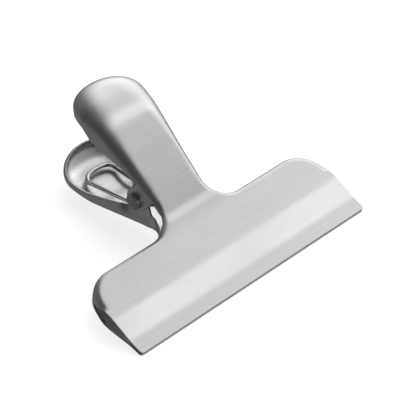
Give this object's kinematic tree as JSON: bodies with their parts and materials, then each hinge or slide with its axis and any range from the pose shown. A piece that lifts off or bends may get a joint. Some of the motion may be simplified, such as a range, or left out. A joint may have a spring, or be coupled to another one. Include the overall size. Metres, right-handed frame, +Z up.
{
  "type": "bag clip",
  "caption": "Wide pressed-steel bag clip: two sprung jaws with broad flat blades and round finger pads, hinged on a riveted pin.",
  "frame": {"origin": "centre of the clip's bounding box in plan, on the surface that the closed clip lies on", "axes": "+Z up from the surface it lies on, +Y from the mouth towards the handles, +X along the blades; the closed blades rise 15.9 degrees towards the handles"},
  "size_m": [0.076, 0.066, 0.032],
  "materials": {
    "brushed_sheet": "brushed along the mouth",
    "pin_steel": "satin, turned",
    "spring_wire": "bright drawn wire"
  },
  "bodies": {
    "lower": {"lower_jaw": "brushed_sheet", "torsion_spring": "spring_wire"},
    "upper": {"upper_jaw": "brushed_sheet", "hinge_pin": "pin_steel"}
  },
  "joints": [
    {"name": "jaw_hinge", "type": "hinge", "parent": "lower", "child": "upper", "pos_m": [0, 0.00202, 0.0105], "axis": [-1, 0, 0], "range_deg": [0, 32], "stiffness_Nm_per_rad": 0.4, "springref_deg": -40.11, "deforming": ["torsion_spring"]}
  ]
}
